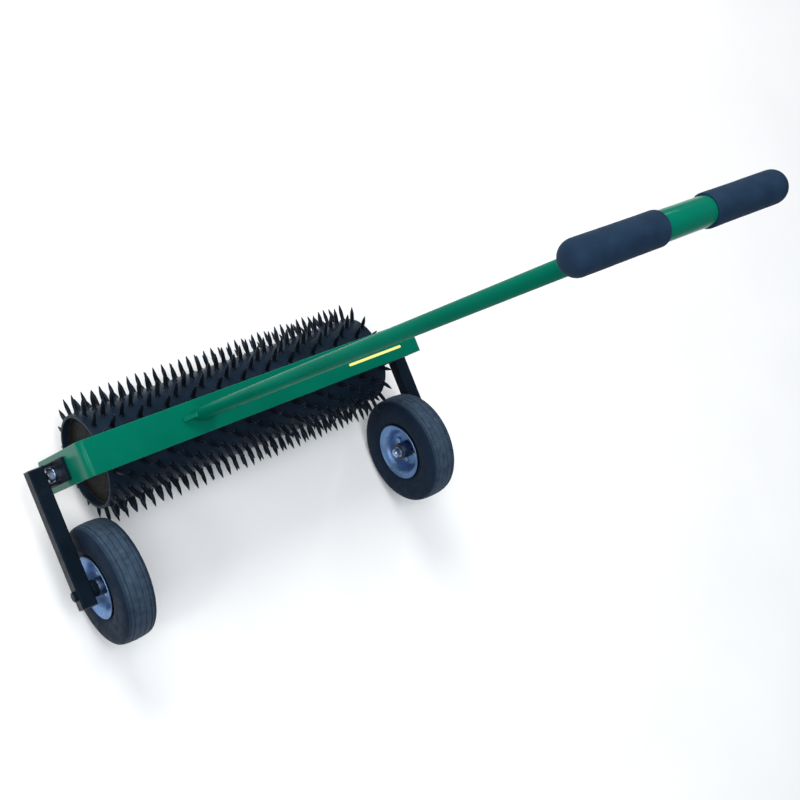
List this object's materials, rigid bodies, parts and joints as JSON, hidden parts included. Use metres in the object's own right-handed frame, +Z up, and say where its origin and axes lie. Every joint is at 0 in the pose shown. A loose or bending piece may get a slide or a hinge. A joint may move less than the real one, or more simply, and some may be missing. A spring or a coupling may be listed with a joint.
{
  "type": "spiked roller with transport wheels",
  "caption": "Walk-behind spiked steel roller in a flat-bar yoke with a long T handle, and two pneumatic transport wheels on arms behind the drum.",
  "frame": {"origin": "on the floor, at the centre of the footprint, with the roller standing on its spikes and both tyres and the handle up", "axes": "+X along the roller axle to the right seen from the wheels, +Z up, wheels on the -Y side and drum on the +Y side"},
  "size_m": [0.9674, 0.5053, 1.5896],
  "materials": {
    "green_paint": "glossy green enamel",
    "black_paint": "satin black enamel",
    "spike_steel": "black enamel on forged spikes",
    "disc_steel": "thin dark paint over brown steel",
    "zinc": "bright zinc plating",
    "zinc_rim": "zinc plated pressed steel",
    "bright_steel": "plain turned steel",
    "bronze": "oiled sintered bronze",
    "tyre": "ribbed tyre rubber, slightly dusty",
    "tube_rubber": "smooth rubber",
    "grip_rubber": "matt moulded foam rubber",
    "black_plastic": "moulded polyethylene",
    "yellow_vinyl": "plain pale yellow vinyl strip"
  },
  "bodies": {
    "frame": {"yoke_bar": "green_paint", "handle_tube": "green_paint", "handle_gusset_left": "green_paint", "handle_gusset_right": "green_paint", "t_bar_tube": "green_paint", "grip_left": "grip_rubber", "grip_right": "grip_rubber", "stripe_decal": "yellow_vinyl", "drum_axle": "bright_steel", "axle_collars": "bright_steel", "axle_washers": "zinc", "axle_nuts": "zinc", "bracket_bolts": "zinc", "bracket_washers": "zinc", "bracket_nuts": "zinc", "wheel_spacers": "black_paint", "wheel_washers": "zinc", "wheel_nuts": "zinc", "wheel_arm_left": "black_paint", "arm_plugs_left": "black_plastic", "arm_bracket_left": "black_paint", "bracket_ears_left": "black_paint", "wheel_bolt_left": "black_paint", "wheel_arm_right": "black_paint", "arm_plugs_right": "black_plastic", "arm_bracket_right": "black_paint", "bracket_ears_right": "black_paint", "wheel_bolt_right": "black_paint"},
    "drum": {"drum_shell": "black_paint", "drum_end_disc_left": "disc_steel", "drum_end_disc_right": "disc_steel", "drum_hub_left": "disc_steel", "drum_hub_right": "disc_steel", "drum_bush_left": "bronze", "drum_bush_right": "bronze", "spikes": "spike_steel"},
    "wheel_left": {"tyre_left": "tyre", "inner_tube_left": "tube_rubber", "valve_stem_left": "tube_rubber", "rim_outer_left": "zinc_rim", "rim_inner_left": "zinc_rim", "rim_bolts_left": "zinc", "rim_nuts_left": "zinc", "wheel_hub_left": "zinc_rim", "wheel_bushes_left": "black_plastic"},
    "wheel_right": {"tyre_right": "tyre", "inner_tube_right": "tube_rubber", "valve_stem_right": "tube_rubber", "rim_outer_right": "zinc_rim", "rim_inner_right": "zinc_rim", "rim_bolts_right": "zinc", "rim_nuts_right": "zinc", "wheel_hub_right": "zinc_rim", "wheel_bushes_right": "black_plastic"}
  },
  "joints": [
    {"name": "drum_spin", "type": "hinge", "parent": "frame", "child": "drum", "pos_m": [0, 0.11439, 0.13804], "axis": [1, 0, 0], "continuous": true},
    {"name": "wheel_left_spin", "type": "hinge", "parent": "frame", "child": "wheel_left", "pos_m": [-0.4015, -0.1249, 0.128], "axis": [1, 0, 0], "continuous": true},
    {"name": "wheel_right_spin", "type": "hinge", "parent": "frame", "child": "wheel_right", "pos_m": [0.4015, -0.1249, 0.128], "axis": [1, 0, 0], "continuous": true}
  ]
}
